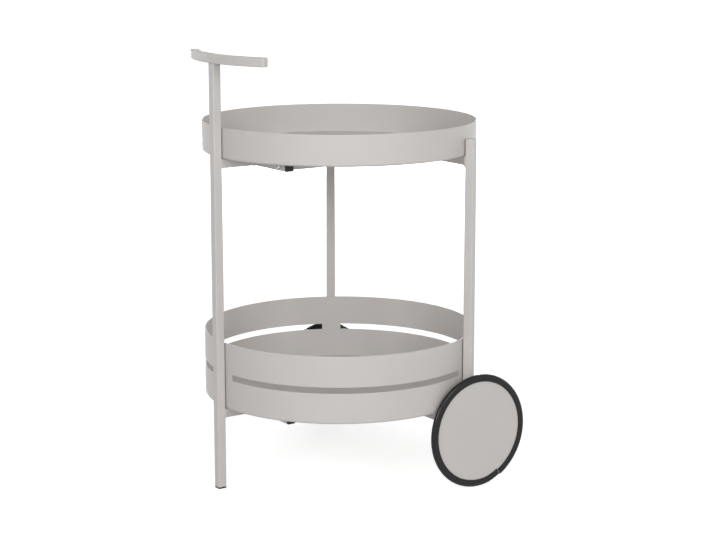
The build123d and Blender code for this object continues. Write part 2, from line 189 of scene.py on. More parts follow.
# %% Tyre rubber
def tyre_rubber(axle, wheel_radius):
    line_width = 0.8
    line_depth = 0.05 * MM
    bloom_width = 25
    tread_width = 4 * MM
    tread_fade = 1.5 * MM
    tread_start = wheel_radius - tread_width
    material = bpy.data.materials.new("extruded_rubber_black")
    material.use_nodes = True
    tree = material.node_tree
    shader = tree.nodes["Principled BSDF"]
    shader.inputs["Specular IOR Level"].default_value = 0.33
    place = add_node(tree, "ShaderNodeTexCoord").outputs["Object"]
    about_axle = add_node(tree, "ShaderNodeMapping", {
        "Vector": place, "Location": (-axle.x, 0, -axle.z), "Scale": (1, 0, 1)})
    reach = add_node(tree, "ShaderNodeVectorMath", {
        0: about_axle.outputs["Vector"]}, operation="LENGTH")
    lines = add_node(tree, "ShaderNodeTexNoise", {
        "W": reach.outputs["Value"], "Scale": per_metre(line_width), "Detail": 1.0},
        noise_dimensions="1D")
    bloom = add_node(tree, "ShaderNodeTexNoise", {
        "Vector": place, "Scale": per_metre(bloom_width), "Detail": 4.0})
    tone = add_node(tree, "ShaderNodeMixRGB", {
        "Fac": bloom.outputs["Fac"], "Color1": linear("#070708"), "Color2": linear("#101011")})
    dull = add_node(tree, "ShaderNodeMapRange", {
        "Value": bloom.outputs["Fac"], "To Min": 0.50, "To Max": 0.64})
    rubbed = add_node(tree, "ShaderNodeMapRange", {
        "Value": bloom.outputs["Fac"], "To Min": 0.16, "To Max": 0.26})
    gloss = add_node(tree, "ShaderNodeMapRange", {
        "Value": reach.outputs["Value"], "From Min": tread_start - tread_fade, "From Max": tread_start,
        "To Min": dull.outputs["Result"], "To Max": rubbed.outputs["Result"]})
    bump = add_node(tree, "ShaderNodeBump", {
        "Height": lines.outputs["Fac"], "Strength": 0.3, "Distance": line_depth})
    tree.links.new(tone.outputs["Color"], shader.inputs["Base Color"])
    tree.links.new(gloss.outputs["Result"], shader.inputs["Roughness"])
    tree.links.new(bump.outputs["Normal"], shader.inputs["Normal"])
    return material


# %% [markdown]
# The plugs and the foot are moulded polyethylene, pressed into the open tube ends. The mould was
# spark-eroded, which leaves a fine even grain and a dull black. One noise drives tone, gloss and
# bump together, so that the grain looks moulded in and not painted on.

# %% Black plastic
def moulded_polyethylene():
    grain_width = 0.8
    grain_depth = 0.05 * MM
    material = bpy.data.materials.new("moulded_polyethylene_black")
    material.use_nodes = True
    tree = material.node_tree
    shader = tree.nodes["Principled BSDF"]
    shader.inputs["Specular IOR Level"].default_value = 0.35
    place = add_node(tree, "ShaderNodeTexCoord").outputs["Object"]
    grain = add_node(tree, "ShaderNodeTexNoise", {
        "Vector": place, "Scale": per_metre(grain_width), "Detail": 2.0})
    tone = add_node(tree, "ShaderNodeMixRGB", {
        "Fac": grain.outputs["Fac"], "Color1": linear("#1B1B1B"), "Color2": linear("#232322")})
    gloss = add_node(tree, "ShaderNodeMapRange", {
        "Value": grain.outputs["Fac"], "To Min": 0.42, "To Max": 0.60})
    bump = add_node(tree, "ShaderNodeBump", {
        "Height": grain.outputs["Fac"], "Strength": 0.4, "Distance": grain_depth})
    tree.links.new(tone.outputs["Color"], shader.inputs["Base Color"])
    tree.links.new(gloss.outputs["Result"], shader.inputs["Roughness"])
    tree.links.new(bump.outputs["Normal"], shader.inputs["Normal"])
    return material


# %% [markdown]
# Bolts, nuts, studs and axles are zinc-plated steel: a bright, slightly blue metal whose plating is
# a little cloudy, so its gloss changes over a few millimetres. A metal takes its colour from the
# base colour and keeps the shader's own IOR, so a noise on tone and gloss is all that it needs.

# %% Zinc plate
def zinc_plate():
    cloud_width = 4
    material = bpy.data.materials.new("zinc_plated_steel_bright")
    material.use_nodes = True
    tree = material.node_tree
    shader = tree.nodes["Principled BSDF"]
    shader.inputs["Metallic"].default_value = 1.0
    place = add_node(tree, "ShaderNodeTexCoord").outputs["Object"]
    plating = add_node(tree, "ShaderNodeTexNoise", {
        "Vector": place, "Scale": per_metre(cloud_width), "Detail": 3.0})
    tone = add_node(tree, "ShaderNodeMixRGB", {
        "Fac": plating.outputs["Fac"], "Color1": linear("#B8BBBF"), "Color2": linear("#C8C8C5")})
    gloss = add_node(tree, "ShaderNodeMapRange", {
        "Value": plating.outputs["Fac"], "To Min": 0.22, "To Max": 0.42})
    tree.links.new(tone.outputs["Color"], shader.inputs["Base Color"])
    tree.links.new(gloss.outputs["Result"], shader.inputs["Roughness"])
    return material


# %% [markdown]
# The axle bushes and washers are turned from natural nylon, a waxy off-white that lets a little
# light in. Turning leaves fine rings, but these pieces are small and half hidden, so a soft mottle
# is enough.

# %% Nylon
def natural_nylon():
    mottle_width = 3
    light_reach = (1.5 * MM, 1.2 * MM, 0.9 * MM)
    material = bpy.data.materials.new("turned_nylon_natural")
    material.use_nodes = True
    tree = material.node_tree
    shader = tree.nodes["Principled BSDF"]
    shader.inputs["Subsurface Weight"].default_value = 0.15
    shader.inputs["Subsurface Radius"].default_value = light_reach
    shader.inputs["IOR"].default_value = 1.53
    place = add_node(tree, "ShaderNodeTexCoord").outputs["Object"]
    mottle = add_node(tree, "ShaderNodeTexNoise", {
        "Vector": place, "Scale": per_metre(mottle_width), "Detail": 2.0})
    tone = add_node(tree, "ShaderNodeMixRGB", {
        "Fac": mottle.outputs["Fac"], "Color1": linear("#DDD8CA"), "Color2": linear("#E9E5DA")})
    gloss = add_node(tree, "ShaderNodeMapRange", {
        "Value": mottle.outputs["Fac"], "To Min": 0.38, "To Max": 0.55})
    tree.links.new(tone.outputs["Color"], shader.inputs["Base Color"])
    tree.links.new(gloss.outputs["Result"], shader.inputs["Roughness"])
    return material


# %% One material for each slot of the record
right_tyre_low, right_tyre_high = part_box("right_wheel_tyre")
axle = (right_tyre_low + right_tyre_high) / 2
wheel_radius = (right_tyre_high.z - right_tyre_low.z) / 2
finishes = {
    "warm_grey_powder_coat": powder_coat(),
    "black_rubber": tyre_rubber(axle, wheel_radius),
    "black_plastic": moulded_polyethylene(),
    "zinc_plated_steel": zinc_plate(),
    "white_nylon": natural_nylon(),
}
print("finishes:", ", ".join(sorted(material.name for material in finishes.values())))
print(f"wheel radius {wheel_radius / MM:.1f} mm")

# %% [markdown]
# ## Pieces
# A finished piece is a mesh at the origin with its place in its points. It takes a finish from one
# of the record's slots, rides on a body of the model and, where it stands for solids of the model,
# hides them.

# %% Adding a piece
HARD_EDGE = radians(40)


def add_piece(name, mesh, body, slot, stands_for=()):
    """Put a finished mesh into the scene as a piece of the trolley."""
    mesh.name = name
    mesh.materials.clear()
    mesh.materials.append(finishes[slot])
    piece = bpy.data.objects.new(name, mesh)
    scene.collection.objects.link(piece)
    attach(piece, body)
    if stands_for:
        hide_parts(*stands_for)
    print(f"{name}: {len(mesh.polygons)} faces")
    return piece


def soften_edges(piece, width, steps=3):
    """Round the hard edges a little and keep the flat faces flat to the eye."""
    bevel = piece.modifiers.new("rounded_edges", "BEVEL")
    bevel.width = width
    bevel.segments = steps
    bevel.limit_method = "ANGLE"
    bevel.angle_limit = HARD_EDGE
    normals = piece.modifiers.new("flat_faces", "WEIGHTED_NORMAL")
    normals.keep_sharp = True


# %% [markdown]
# ## The trays
# Each tray is a floor disc welded into a rolled wall, then coated, so nothing shows of the seam. It
# could be turned from a profile, but the lower wall has three slots, and a slot is only a hole in a
# sheet. So the outer skin is laid out as rings and columns, the faces of the slots are left out,
# Solidify gives the sheet its thickness, and Bevel rounds the rim and the slots as the coat does.

# %% Sizes of the sheet
SHEET = 1.5 * MM
EDGE_RADIUS = 4 * MM
EDGE_STEPS = 6
RIM_ROUNDING = 0.5 * MM
FLOOR_RINGS = (0.12, 0.3, 0.5, 0.7, 0.86, 0.96, 1.0)
COLUMN_ANGLE = radians(1.25)
HANDLE_LEG_BRIDGE = 48 * MM
WHEEL_LEG_BRIDGE = 34 * MM
SLOT_HEIGHT = 10 * MM
WHEEL_LEG_ANGLE = radians(60)


# %% Rings and columns of a tray
def pan_rows(wall_heights):
    """Radius and height of each ring of the skin: floor, rounded lower edge, then wall."""
    corner = tray_radius - EDGE_RADIUS
    rows = [(corner * share, 0.0) for share in FLOOR_RINGS]
    for step in range(1, EDGE_STEPS + 1):
        turn = pi / 2 * step / EDGE_STEPS
        rows.append((corner + EDGE_RADIUS * sin(turn), EDGE_RADIUS * (1 - cos(turn))))
    return rows + [(tray_radius, height) for height in wall_heights]


def fill_angles(stops):
    """Evenly spaced directions round the tray, with one exactly at every stop."""
    angles = []
    for start, end in zip(stops, stops[1:]):
        count = max(1, round((end - start) / COLUMN_ANGLE))
        angles += [start + (end - start) * step / count for step in range(count)]
    return angles


def make_pan(base, rows, angles, is_slot):
    """The outer skin of a tray; is_slot says which faces are left out."""
    skin = bmesh.new()
    middle = skin.verts.new((tray_axis.x, tray_axis.y, base))
    rings = []
    for radius, height in rows:
        ring = []
        for angle in angles:
            x = tray_axis.x + radius * cos(angle)
            y = tray_axis.y + radius * sin(angle)
            ring.append(skin.verts.new((x, y, base + height)))
        rings.append(ring)
    for this in range(len(angles)):
        following = (this + 1) % len(angles)
        skin.faces.new((middle, rings[0][following], rings[0][this]))
        for row in range(len(rings) - 1):
            if not is_slot(row, this):
                skin.faces.new((rings[row][this], rings[row][following],
                                rings[row + 1][following], rings[row + 1][this]))
    mesh = bpy.data.meshes.new("pan")
    skin.to_mesh(mesh)
    skin.free()
    mesh.shade_smooth()
    return mesh


def finish_pan(piece):
    """Give the skin the thickness of the sheet, inwards, and round its edges."""
    sheet = piece.modifiers.new("sheet", "SOLIDIFY")
    sheet.thickness = SHEET
    sheet.offset = -1
    sheet.use_even_offset = True
    soften_edges(piece, RIM_ROUNDING)


# %% The upper tray
UPPER_WALL_RINGS = (0.2, 0.4, 0.6, 0.8, 0.95, 1.0)
upper_depth = upper_high.z - upper_low.z
upper_rows = pan_rows([upper_depth * share for share in UPPER_WALL_RINGS])
upper_pan = make_pan(upper_low.z, upper_rows, fill_angles((-pi, pi)), lambda row, column: False)
upper_tray = add_piece("upper_tray", upper_pan, "cart", "warm_grey_powder_coat",
                       ("upper_tray_wall", "upper_tray_floor"))
finish_pan(upper_tray)

# %% [markdown]
# The lower wall is two bands with a slot between them. Behind each leg the slot stops, and the
# sheet runs on as a bridge, a wide one behind the handle leg and a narrower one behind each wheel
# leg.

# %% The lower tray
LOWER_BAND_RINGS = (0.2, 0.4, 0.6, 0.8, 0.94, 1.0)
UPPER_BAND_RINGS = (0.0, 0.06, 0.2, 0.4, 0.6, 0.8, 0.95, 1.0)
lower_depth = lower_high.z - lower_low.z
band = (lower_depth - SLOT_HEIGHT) / 2
handle_bridge = HANDLE_LEG_BRIDGE / 2 / tray_radius
wheel_bridge = WHEEL_LEG_BRIDGE / 2 / tray_radius
right_slot = (-pi + handle_bridge, -WHEEL_LEG_ANGLE - wheel_bridge)
rear_slot = (-WHEEL_LEG_ANGLE + wheel_bridge, WHEEL_LEG_ANGLE - wheel_bridge)
left_slot = (WHEEL_LEG_ANGLE + wheel_bridge, pi - handle_bridge)
slots = (right_slot, rear_slot, left_slot)
stops = [-pi, *right_slot, *rear_slot, *left_slot, pi]
lower_angles = fill_angles(stops)
lower_heights = [band * share for share in LOWER_BAND_RINGS]
slot_row = len(pan_rows(lower_heights)) - 1
lower_heights += [band + SLOT_HEIGHT + band * share for share in UPPER_BAND_RINGS]


def in_slot(row, column):
    """Whether a face of the lower wall lies in one of its slots."""
    angle = lower_angles[column] + COLUMN_ANGLE / 4
    return row == slot_row and any(start < angle < end for start, end in slots)


lower_pan = make_pan(lower_low.z, pan_rows(lower_heights), lower_angles, in_slot)
lower_tray = add_piece("lower_tray", lower_pan, "cart", "warm_grey_powder_coat",
                       ("lower_tray_wall", "lower_tray_floor"))
finish_pan(lower_tray)

# %% [markdown]
# ## The handle
# The handle is the legs' own square tube, bowed on the circle that the legs stand on and closed by
# a welded plate at each end. A path and a section say all of that, so Geometry Nodes sweep a
# rounded square along an arc. The inputs of the tree are the sizes that a maker would ask for. One
# function runs a tree and keeps its result as a plain mesh.

# %% Running a node tree
def new_tree(name, sockets):
    """A geometry tree with named inputs; returns the tree and its input node's outputs."""
    tree = bpy.data.node_groups.new(name, "GeometryNodeTree")
    tree.interface.new_socket("Geometry", in_out="OUTPUT", socket_type="NodeSocketGeometry")
    tree.interface.new_socket("Geometry", in_out="INPUT", socket_type="NodeSocketGeometry")
    for socket_name, kind in sockets.items():
        tree.interface.new_socket(socket_name, in_out="INPUT", socket_type=kind)
    return tree, add_node(tree, "NodeGroupInput").outputs


def end_tree(tree, geometry, material):
    """Every tree ends alike: real geometry, its material, then the output."""
    real = add_node(tree, "GeometryNodeRealizeInstances", {"Geometry": geometry})
    painted = add_node(tree, "GeometryNodeSetMaterial", {
        "Geometry": real.outputs["Geometry"], "Material": material})
    add_node(tree, "NodeGroupOutput", {"Geometry": painted.outputs["Geometry"]})


def run_tree(tree, carrier_data, values):
    """Run a tree on some data and keep what it makes as a plain mesh."""
    carrier = bpy.data.objects.new("carrier", carrier_data)
    scene.collection.objects.link(carrier)
    modifier = carrier.modifiers.new("nodes", "NODES")
    modifier.node_group = tree
    for item in tree.interface.items_tree:
        if item.in_out == "INPUT" and item.name in values:
            modifier[item.identifier] = values[item.name]
    evaluated = carrier.evaluated_get(bpy.context.evaluated_depsgraph_get())
    mesh = bpy.data.meshes.new_from_object(evaluated)
    carrier.modifiers.remove(modifier)
    bpy.data.objects.remove(carrier)
    mesh.shade_smooth()
    return mesh


# %% The tree of a bowed tube
BOW_POINTS = 900
CORNER_POINTS = 6
bowed_tube, given = new_tree("bowed_tube", {
    "Bow Radius": "NodeSocketFloat", "Half Angle": "NodeSocketFloat", "Tube": "NodeSocketFloat",
    "Corner": "NodeSocketFloat", "End Rounding": "NodeSocketFloat", "Grinding": "NodeSocketVector",
    "Middle": "NodeSocketVector", "Material": "NodeSocketMaterial"})
start = add_node(bowed_tube, "ShaderNodeMath", {0: pi, 1: given["Half Angle"]}, operation="SUBTRACT")
sweep = add_node(bowed_tube, "ShaderNodeMath", {0: given["Half Angle"], 1: 2.0}, operation="MULTIPLY")
arc = add_node(bowed_tube, "GeometryNodeCurveArc", {
    "Resolution": BOW_POINTS, "Radius": given["Bow Radius"], "Start Angle": start.outputs[0],
    "Sweep Angle": sweep.outputs[0]}, mode="RADIUS")
upright = add_node(bowed_tube, "GeometryNodeSetCurveNormal", {
    "Curve": arc.outputs["Curve"]}, mode="Z_UP")
square = add_node(bowed_tube, "GeometryNodeCurvePrimitiveQuadrilateral", {
    "Width": given["Tube"], "Height": given["Tube"]}, mode="RECTANGLE")
section = add_node(bowed_tube, "GeometryNodeFilletCurve", {
    "Curve": square.outputs["Curve"], "Count": CORNER_POINTS, "Radius": given["Corner"]}, mode="POLY")

# %% [markdown]
# The ends are rounded over, because the plates were ground round after welding, the upright edges
# more than the level ones. In the last few millimetres the section shrinks along a quarter circle:
# how far a point of the path is from its end says what share of the section is ground away there.
# The path hands that share, and its own place, on to the points of the swept skin, which then move
# towards the path.

# %% Rounded ends, and the sweep
along = add_node(bowed_tube, "GeometryNodeSplineParameter").outputs["Length"]
whole = add_node(bowed_tube, "GeometryNodeSplineLength").outputs["Length"]
onward = add_node(bowed_tube, "ShaderNodeMath", {0: whole, 1: along}, operation="SUBTRACT")
to_end = add_node(bowed_tube, "ShaderNodeMath", {0: along, 1: onward.outputs[0]}, operation="MINIMUM")
into = add_node(bowed_tube, "ShaderNodeMath", {
    0: given["End Rounding"], 1: to_end.outputs[0]}, operation="SUBTRACT")
share = add_node(bowed_tube, "ShaderNodeMath", {
    0: into.outputs[0], 1: given["End Rounding"]}, operation="DIVIDE", use_clamp=True)
square_share = add_node(bowed_tube, "ShaderNodeMath", {0: share.outputs[0], 1: 2.0}, operation="POWER")
rest = add_node(bowed_tube, "ShaderNodeMath", {
    0: 1.0, 1: square_share.outputs[0]}, operation="SUBTRACT")
rise = add_node(bowed_tube, "ShaderNodeMath", {0: rest.outputs[0]}, operation="SQRT")
drop = add_node(bowed_tube, "ShaderNodeMath", {0: 1.0, 1: rise.outputs[0]}, operation="SUBTRACT")
ground = add_node(bowed_tube, "ShaderNodeMath", {
    0: drop.outputs[0], 1: given["End Rounding"]}, operation="MULTIPLY")
loss = add_node(bowed_tube, "ShaderNodeMath", {
    0: ground.outputs[0], 1: given["Tube"]}, operation="DIVIDE")
place = add_node(bowed_tube, "GeometryNodeInputPosition").outputs["Position"]
path = add_node(bowed_tube, "GeometryNodeCaptureAttribute")
path.capture_items.new("VECTOR", "Place")
path.capture_items.new("FLOAT", "Loss")
bowed_tube.links.new(upright.outputs["Curve"], path.inputs["Geometry"])
bowed_tube.links.new(place, path.inputs["Place"])
bowed_tube.links.new(loss.outputs[0], path.inputs["Loss"])
swept = add_node(bowed_tube, "GeometryNodeCurveToMesh", {
    "Curve": path.outputs["Geometry"], "Profile Curve": section.outputs["Curve"], "Fill Caps": True})
beside = add_node(bowed_tube, "ShaderNodeVectorMath", {
    0: place, 1: path.outputs["Place"]}, operation="SUBTRACT")
inwards = add_node(bowed_tube, "ShaderNodeVectorMath", {
    0: beside.outputs["Vector"], 1: given["Grinding"]}, operation="MULTIPLY")
step = add_node(bowed_tube, "ShaderNodeVectorMath", {
    0: inwards.outputs["Vector"], "Scale": path.outputs["Loss"]}, operation="SCALE")
rounded = add_node(bowed_tube, "GeometryNodeSetPosition", {
    "Geometry": swept.outputs["Mesh"], "Offset": step.outputs["Vector"]})
placed = add_node(bowed_tube, "GeometryNodeTransform", {
    "Geometry": rounded.outputs["Geometry"], "Translation": given["Middle"]})
end_tree(bowed_tube, placed.outputs["Geometry"], given["Material"])
print("bowed tube:", len(bowed_tube.nodes), "nodes")

# %% The handle
HANDLE_HALF_ANGLE = radians(28)
TUBE_CORNER = 2 * MM
END_ROUNDING = 3 * MM
# How much of the loss is ground off in each direction: most from the sides, little from above and below
GRINDING = (-2.0, -2.0, -0.5)
handle_low, handle_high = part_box("handle_bar")
handle_mesh = run_tree(bowed_tube, bpy.data.meshes.new("blank"), {
    "Bow Radius": leg_circle, "Half Angle": HANDLE_HALF_ANGLE, "Tube": tube, "Corner": TUBE_CORNER,
    "End Rounding": END_ROUNDING, "Grinding": GRINDING,
    "Middle": (tray_axis.x, tray_axis.y, (handle_low.z + handle_high.z) / 2),
    "Material": finishes["warm_grey_powder_coat"]})
handle = add_piece("bowed_handle", handle_mesh, "cart", "warm_grey_powder_coat",
                   ("handle_bar", "handle_end_plates"))
handle_normals = handle.modifiers.new("flat_faces", "WEIGHTED_NORMAL")
handle_normals.keep_sharp = True

# %% [markdown]
# ## Turned and moulded small pieces
# A bolt, a plug and a cap are all stacks of rings: round ones, six-sided ones or rounded squares.
# One function joins a stack of rings into a closed skin. The rings all have the same number of
# points, so a hexagon socket can grow out of a round head.

# %% Rings and lofts
RING_POINTS = 24


def round_ring(radius, height):
    """A circle of points at a height."""
    turns = [2 * pi * step / RING_POINTS for step in range(RING_POINTS)]
    return [(radius * cos(turn), radius * sin(turn), height) for turn in turns]


def hex_ring(across_flats, height):
    """A hexagon with the same number of points as a circle."""
    ring = []
    for step in range(RING_POINTS):
        turn = 2 * pi * step / RING_POINTS
        reach = across_flats / 2 / cos((turn + pi / 6) % (pi / 3) - pi / 6)
        ring.append((reach * cos(turn), reach * sin(turn), height))
    return ring


def square_ring(half, corner, height):
    """A square with rounded corners, with the same number of points as a circle."""
    ring = []
    per_corner = RING_POINTS // 4
    for quarter in range(4):
        middle = pi / 4 + quarter * pi / 2
        for step in range(per_corner):
            turn = middle - pi / 4 + pi / 2 * step / (per_corner - 1)
            x = (half - corner) * sqrt(2) * cos(middle) + corner * cos(turn)
            y = (half - corner) * sqrt(2) * sin(middle) + corner * sin(turn)
            ring.append((x, y, height))
    return ring


def loft(name, rings):
    """Join rings, listed from the bottom up, into a closed skin."""
    skin = bmesh.new()
    rows = [[skin.verts.new(point) for point in ring] for ring in rings]
    for lower, upper in zip(rows, rows[1:]):
        for this in range(RING_POINTS):
            after = (this + 1) % RING_POINTS
            skin.faces.new((lower[this], lower[after], upper[after], upper[this]))
    skin.faces.new(rows[0][::-1])
    skin.faces.new(rows[-1])
    mesh = bpy.data.meshes.new(name)
    skin.to_mesh(mesh)
    skin.free()
    return mesh


# %% [markdown]
# ## Setting small pieces out
# The bolts, plugs and caps repeat. A tree puts a pattern at every point of a mesh, turned as the
# point's own turn attribute says, and makes the copies real. The carrier mesh holds nothing but the
# points.

# %% The tree that sets a pattern out
CREASE = radians(35)
set_out, given = new_tree("set_out", {"Pattern": "NodeSocketObject", "Material": "NodeSocketMaterial"})
pattern = add_node(set_out, "GeometryNodeObjectInfo", {"Object": given["Pattern"]})
turn = add_node(set_out, "GeometryNodeInputNamedAttribute", {"Name": "turn"}, data_type="FLOAT_VECTOR")
rotation = add_node(set_out, "FunctionNodeEulerToRotation", {"Euler": turn.outputs["Attribute"]})
copies = add_node(set_out, "GeometryNodeInstanceOnPoints", {
    "Points": given["Geometry"], "Instance": pattern.outputs["Geometry"],
    "Rotation": rotation.outputs["Rotation"]})
end_tree(set_out, copies.outputs["Instances"], given["Material"])
print("set out:", len(set_out.nodes), "nodes")


def set_pattern_out(name, pattern_mesh, seats, slot, stands_for):
    """Copy a pattern to each seat, a place and a turn, and add the copies as one piece of the cart."""
    points = bpy.data.meshes.new("seats")
    points.from_pydata([place for place, turned in seats], [], [])
    turns = points.attributes.new("turn", "FLOAT_VECTOR", "POINT")
    for entry, (place, turned) in zip(turns.data, seats):
        entry.vector = turned
    sample = bpy.data.objects.new("sample", pattern_mesh)
    scene.collection.objects.link(sample)
    mesh = run_tree(set_out, points, {"Pattern": sample, "Material": finishes[slot]})
    bpy.data.objects.remove(sample)
    mesh.set_sharp_from_angle(angle=CREASE)
    return add_piece(name, mesh, "cart", slot, stands_for)


# %% [markdown]
# The frame bolts are M6 button heads with a hexagon socket. Two go through each cross bar and two
# through each rear rail, and their heads show under the trays' rims. One bolt is drawn as a stack
# of rings with its seat at height zero, and the tree sets out four of them at each level.

# %% Frame bolts
BOLT_RADIUS = 3 * MM
BOLT_LENGTH = 28 * MM
HEAD_RADIUS = 5.25 * MM
HEAD_HEIGHT = 3.3 * MM
HEAD_EDGE = 0.6 * MM
HEAD_TOP_RADIUS = 3.0 * MM
SOCKET_FLATS = 4 * MM
SOCKET_DEPTH = 2 * MM
DOME_STEPS = 6

bolt_rings = [
    round_ring(BOLT_RADIUS - HEAD_EDGE, -BOLT_LENGTH),
    round_ring(BOLT_RADIUS, HEAD_EDGE - BOLT_LENGTH),
    round_ring(BOLT_RADIUS, 0),
    round_ring(HEAD_RADIUS, 0)]
for step in range(DOME_STEPS + 1):
    turn = pi / 2 * step / DOME_STEPS
    reach = HEAD_TOP_RADIUS + (HEAD_RADIUS - HEAD_TOP_RADIUS) * cos(turn)
    bolt_rings.append(round_ring(reach, HEAD_EDGE + (HEAD_HEIGHT - HEAD_EDGE) * sin(turn)))
bolt_rings += [
    hex_ring(SOCKET_FLATS + HEAD_EDGE, HEAD_HEIGHT),
    hex_ring(SOCKET_FLATS, HEAD_HEIGHT - HEAD_EDGE / 2),
    hex_ring(SOCKET_FLATS, HEAD_HEIGHT - SOCKET_DEPTH)]
bolt = loft("bolt", bolt_rings)

rail_low, rail_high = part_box("upper_left_side_rail")
side_rail_y = (rail_low.y + rail_high.y) / 2
TOWARDS_HANDLE = (0, -pi / 2, 0)
TOWARDS_WHEELS = (0, pi / 2, 0)
for level in ("upper", "lower"):
    bar_low, bar_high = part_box(f"{level}_cross_bar")
    rear_low, rear_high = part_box(f"{level}_rear_rail")
    middle = (bar_low.z + bar_high.z) / 2
    seats = []
    for y in (-side_rail_y, side_rail_y):
        seats += [((bar_low.x, y, middle), TOWARDS_HANDLE), ((rear_high.x, y, middle), TOWARDS_WHEELS)]
    set_pattern_out(f"{level}_bolts", bolt, seats, "zinc_plated_steel", [f"{level}_frame_bolts"])

# %% [markdown]
# A plug has a sleeve that grips the bore of the tube and a flange as wide as the tube, with its
# edge rounded. The foot is the same moulding, pressed into the handle leg from below. The rounding
# comes again on the caps of the legs, so it is a function.

# %% Plugs and foot
PLUG_DEPTH = 14 * MM
PLUG_FLANGE = 3 * MM
PLUG_ROUNDING = 0.9 * MM
SLEEVE_HALF = 5.9 * MM
SLEEVE_CORNER = 0.5 * MM
ROUNDING_STEPS = 4


def rounded_end(rounding, top):
    """Rings as wide as the tube that draw in along a quarter circle up to a flat top."""
    rings = []
    for step in range(ROUNDING_STEPS + 1):
        turn = pi / 2 * step / ROUNDING_STEPS
        inset = rounding * (1 - cos(turn))
        height = top - rounding * (1 - sin(turn))
        rings.append(square_ring(tube / 2 - inset, TUBE_CORNER - inset / 2, height))
    return rings


plug_rings = [
    square_ring(SLEEVE_HALF, SLEEVE_CORNER, -PLUG_DEPTH),
    square_ring(SLEEVE_HALF, SLEEVE_CORNER, 0),
    square_ring(tube / 2, TUBE_CORNER, 0)]
plug_rings += rounded_end(PLUG_ROUNDING, PLUG_FLANGE)
plug = loft("plug", plug_rings)
TO_THE_LEFT = (-pi / 2, 0, 0)
TO_THE_RIGHT = (pi / 2, 0, 0)
DOWNWARDS = (pi, 0, 0)
for level in ("upper", "lower"):
    bar_low, bar_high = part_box(f"{level}_cross_bar")
    middle = (bar_low + bar_high) / 2
    seats = [
        ((middle.x, bar_high.y, middle.z), TO_THE_LEFT),
        ((middle.x, bar_low.y, middle.z), TO_THE_RIGHT)]
    set_pattern_out(f"{level}_plugs", plug, seats, "black_plastic", [f"{level}_cross_bar_plugs"])
foot_seat = [((handle_leg_axis.x, handle_leg_axis.y, leg_low.z), DOWNWARDS)]
set_pattern_out("foot", plug, foot_seat, "black_plastic", ["handle_leg_foot"])

# %% [markdown]
# The short legs end in a welded plate, ground and coated, about half-way up the upper tray's wall.
# Its edge is only just rounded, which is what catches the light there. A bevelled box would look
# the same, but the rings are there already and follow the tube's rounded corners.

# %% Leg caps
CAP_ROUNDING = 0.7 * MM
caps_low, caps_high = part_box("wheel_leg_caps")
cap_height = caps_high.z - caps_low.z
cap_rings = [square_ring(tube / 2, TUBE_CORNER, 0)]
cap_rings += rounded_end(CAP_ROUNDING, cap_height)
cap = loft("cap", cap_rings)
leg_turn_cos = cos(WHEEL_LEG_ANGLE)
leg_turn_sin = sin(WHEEL_LEG_ANGLE)
wheel_leg_x = tray_axis.x + leg_circle * leg_turn_cos
wheel_leg_y = leg_circle * leg_turn_sin
cap_seats = []
for side in (-1, 1):
    place = (wheel_leg_x, side * wheel_leg_y, caps_low.z)
    cap_seats.append((place, (0, 0, side * WHEEL_LEG_ANGLE)))
set_pattern_out("leg_caps", cap, cap_seats, "warm_grey_powder_coat", ["wheel_leg_caps"])

# %% [markdown]
# ## Weld beads
# Everything in the frame that is not bolted is welded: the handle on its leg, the stem rails
# between the leg and the cross bars, the rear rails between the wheel legs, and these legs on the
# axle tube. A bead is a line of small overlapping puddles that follows the seam, and the coat only
# softens it. Each seam is drawn as a line with the bead's radius at its points, and a tree sweeps a
# circle along it that swells once a puddle.

# %% The tree of the weld beads
BEAD_SIDES = 12
weld_tree, given = new_tree("weld_beads", {
    "Puddle": "NodeSocketFloat", "Swell": "NodeSocketFloat", "Step": "NodeSocketFloat",
    "Material": "NodeSocketMaterial"})
fine = add_node(weld_tree, "GeometryNodeResampleCurve", {
    "Curve": given["Geometry"], "Length": given["Step"]}, mode="LENGTH")
along = add_node(weld_tree, "GeometryNodeSplineParameter").outputs["Length"]
puddles = add_node(weld_tree, "ShaderNodeMath", {0: along, 1: given["Puddle"]}, operation="DIVIDE")
phase = add_node(weld_tree, "ShaderNodeMath", {0: puddles.outputs[0], 1: 2 * pi}, operation="MULTIPLY")
wave = add_node(weld_tree, "ShaderNodeMath", {0: phase.outputs[0]}, operation="SINE")
swell = add_node(weld_tree, "ShaderNodeMath", {
    0: wave.outputs[0], 1: given["Swell"], 2: 1.0}, operation="MULTIPLY_ADD")
bead_radius = add_node(weld_tree, "GeometryNodeInputRadius").outputs["Radius"]
size = add_node(weld_tree, "ShaderNodeMath", {
    0: bead_radius, 1: swell.outputs[0]}, operation="MULTIPLY")
circle = add_node(weld_tree, "GeometryNodeCurvePrimitiveCircle", {
    "Resolution": BEAD_SIDES, "Radius": 1.0}, mode="RADIUS")
swept = add_node(weld_tree, "GeometryNodeCurveToMesh", {
    "Curve": fine.outputs["Curve"], "Profile Curve": circle.outputs["Curve"], "Scale": size.outputs[0],
    "Fill Caps": True})
end_tree(weld_tree, swept.outputs["Mesh"], given["Material"])
print("weld beads:", len(weld_tree.nodes), "nodes")

# %% [markdown]
# Most seams go once round a tube, so they start from the tube's own rounded square. The rear rails
# are cut to fit the turned wheel legs: each point of their seam slides along the rail until it
# meets one of two leg faces. The handle's own seam is ground flush with the tubes, so it gets no
# bead.

